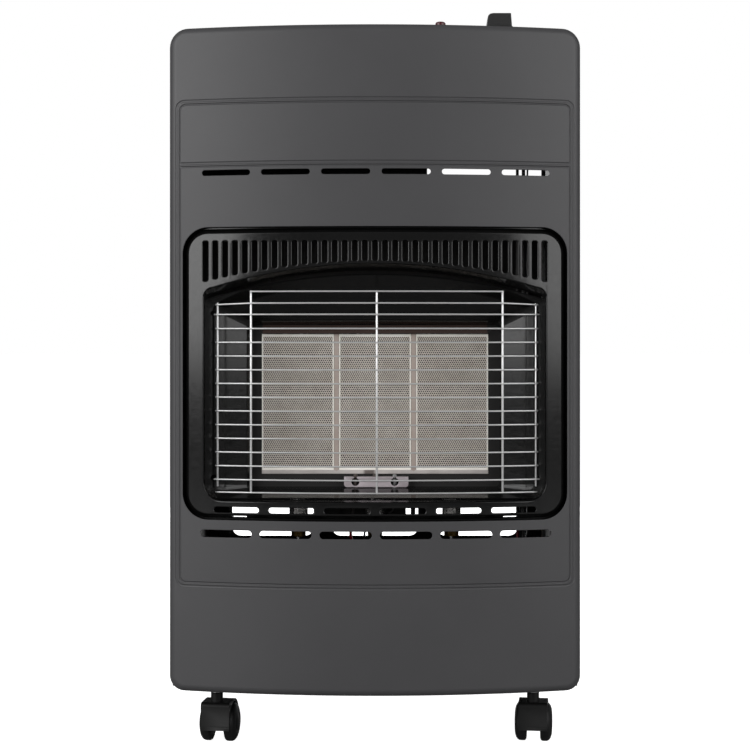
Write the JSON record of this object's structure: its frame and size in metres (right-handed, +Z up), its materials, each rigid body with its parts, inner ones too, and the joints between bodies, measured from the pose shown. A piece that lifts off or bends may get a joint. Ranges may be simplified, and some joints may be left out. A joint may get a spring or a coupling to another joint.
{
  "type": "mobile gas convector heater",
  "caption": "Upright gas heater on swivelling twin-wheel casters, with ceramic plaque burners behind a bowed wire guard and room for a gas bottle.",
  "frame": {"origin": "centre of the bounding box, at floor height", "axes": "+Z up, -Y towards the front with the burner, +X to the right as seen from the front"},
  "size_m": [0.42, 0.4, 0.7609],
  "materials": {
    "cabinet": "matte dark grey",
    "black_enamel": "glossy black enamel",
    "bright_wire": "bright plated wire",
    "galvanised": "zinc-coated sheet",
    "dark_steel": "heat-darkened steel",
    "burner_steel": "aluminised steel",
    "ceramic": "unglazed ceramic",
    "brass": "turned brass",
    "tube_metal": "drawn tube",
    "red_lead": "silicone-covered lead",
    "black_plastic": "satin black",
    "red_plastic": "dark red",
    "caster_plastic": "black nylon",
    "caster_steel": "zinc-plated steel"
  },
  "bodies": {
    "cabinet": {"front_panel": "cabinet", "side_panel_left": "cabinet", "side_panel_right": "cabinet", "top_panel": "cabinet", "base_plate": "cabinet", "burner_surround": "black_enamel", "reflector": "black_enamel", "guard_grille": "bright_wire", "heat_shield": "galvanised", "burner_carrier": "galvanised", "injector_rail": "galvanised", "tap_bracket": "galvanised", "burner_frame": "dark_steel", "pilot_bracket": "burner_steel", "pilot_burner": "brass", "gas_tap": "brass", "hose_inlet": "brass", "spark_electrode": "ceramic", "thermocouple": "tube_metal", "pilot_pipe": "tube_metal", "knob_spring": "tube_metal", "ignition_lead": "red_lead", "igniter_body": "black_plastic", "burner_box_left": "burner_steel", "ceramic_plaque_left": "ceramic", "injector_left": "brass", "gas_pipe_left": "tube_metal", "burner_box_centre": "burner_steel", "ceramic_plaque_centre": "ceramic", "injector_centre": "brass", "gas_pipe_centre": "tube_metal", "burner_box_right": "burner_steel", "ceramic_plaque_right": "ceramic", "injector_right": "brass", "gas_pipe_right": "tube_metal", "caster_stem_front_left": "caster_steel", "caster_stem_front_right": "caster_steel", "caster_stem_rear_left": "caster_steel", "caster_stem_rear_right": "caster_steel"},
    "rear_cover": {"rear_cover": "cabinet"},
    "spindle": {"knob_spindle": "tube_metal"},
    "knob": {"control_knob": "black_plastic"},
    "button": {"igniter_button": "red_plastic"},
    "caster_front_left": {"caster_hood_front_left": "caster_plastic", "caster_axle_front_left": "caster_steel"},
    "wheel_front_left_l": {"caster_wheel_front_left_l": "caster_plastic"},
    "wheel_front_left_r": {"caster_wheel_front_left_r": "caster_plastic"},
    "caster_front_right": {"caster_hood_front_right": "caster_plastic", "caster_axle_front_right": "caster_steel"},
    "wheel_front_right_l": {"caster_wheel_front_right_l": "caster_plastic"},
    "wheel_front_right_r": {"caster_wheel_front_right_r": "caster_plastic"},
    "caster_rear_left": {"caster_hood_rear_left": "caster_plastic", "caster_axle_rear_left": "caster_steel"},
    "wheel_rear_left_l": {"caster_wheel_rear_left_l": "caster_plastic"},
    "wheel_rear_left_r": {"caster_wheel_rear_left_r": "caster_plastic"},
    "caster_rear_right": {"caster_hood_rear_right": "caster_plastic", "caster_axle_rear_right": "caster_steel"},
    "wheel_rear_right_l": {"caster_wheel_rear_right_l": "caster_plastic"},
    "wheel_rear_right_r": {"caster_wheel_rear_right_r": "caster_plastic"}
  },
  "joints": [
    {"name": "caster_swivel_front_left", "type": "hinge", "parent": "cabinet", "child": "caster_front_left", "pos_m": [-0.1648, -0.134, 0.045], "axis": [0, 0, 1], "continuous": true},
    {"name": "wheel_spin_front_left_l", "type": "hinge", "parent": "caster_front_left", "child": "wheel_front_left_l", "pos_m": [-0.16285, -0.12014, 0.02], "axis": [0.9903, -0.1392, 0], "continuous": true},
    {"name": "wheel_spin_front_left_r", "type": "hinge", "parent": "caster_front_left", "child": "wheel_front_left_r", "pos_m": [-0.16285, -0.12014, 0.02], "axis": [0.9903, -0.1392, 0], "continuous": true},
    {"name": "caster_swivel_front_right", "type": "hinge", "parent": "cabinet", "child": "caster_front_right", "pos_m": [0.1648, -0.134, 0.045], "axis": [0, 0, 1], "continuous": true},
    {"name": "wheel_spin_front_right_l", "type": "hinge", "parent": "caster_front_right", "child": "wheel_front_right_l", "pos_m": [0.16675, -0.12014, 0.02], "axis": [0.9903, -0.1392, 0], "continuous": true},
    {"name": "wheel_spin_front_right_r", "type": "hinge", "parent": "caster_front_right", "child": "wheel_front_right_r", "pos_m": [0.16675, -0.12014, 0.02], "axis": [0.9903, -0.1392, 0], "continuous": true},
    {"name": "caster_swivel_rear_left", "type": "hinge", "parent": "cabinet", "child": "caster_rear_left", "pos_m": [-0.1648, 0.14, 0.045], "axis": [0, 0, 1], "continuous": true},
    {"name": "wheel_spin_rear_left_l", "type": "hinge", "parent": "caster_rear_left", "child": "wheel_rear_left_l", "pos_m": [-0.16819, 0.15358, 0.02], "axis": [0.9703, 0.2419, 0], "continuous": true},
    {"name": "wheel_spin_rear_left_r", "type": "hinge", "parent": "caster_rear_left", "child": "wheel_rear_left_r", "pos_m": [-0.16819, 0.15358, 0.02], "axis": [0.9703, 0.2419, 0], "continuous": true},
    {"name": "caster_swivel_rear_right", "type": "hinge", "parent": "cabinet", "child": "caster_rear_right", "pos_m": [0.1648, 0.14, 0.045], "axis": [0, 0, 1], "continuous": true},
    {"name": "wheel_spin_rear_right_l", "type": "hinge", "parent": "caster_rear_right", "child": "wheel_rear_right_l", "pos_m": [0.16747, 0.15374, 0.02], "axis": [0.9816, -0.1908, 0], "continuous": true},
    {"name": "wheel_spin_rear_right_r", "type": "hinge", "parent": "caster_rear_right", "child": "wheel_rear_right_r", "pos_m": [0.16747, 0.15374, 0.02], "axis": [0.9816, -0.1908, 0], "continuous": true},
    {"name": "knob_press", "type": "slide", "parent": "cabinet", "child": "spindle", "axis": [0, 0, -1], "range_m": [0, 0.003], "stiffness_N_per_m": 1500, "springref_m": -0.003, "deforming": ["knob_spring"]},
    {"name": "knob_turn", "type": "hinge", "parent": "spindle", "child": "knob", "pos_m": [0.1293, -0.133, 0.745], "axis": [0, 0, -1], "range_deg": [-180, 0]},
    {"name": "igniter_press", "type": "slide", "parent": "cabinet", "child": "button", "axis": [0, 0, -1], "range_m": [0, 0.005], "stiffness_N_per_m": 800, "springref_m": -0.003},
    {"name": "cover_lift", "type": "slide", "parent": "cabinet", "child": "rear_cover", "axis": [0, 0, 1], "range_m": [0, 0.01]}
  ]
}
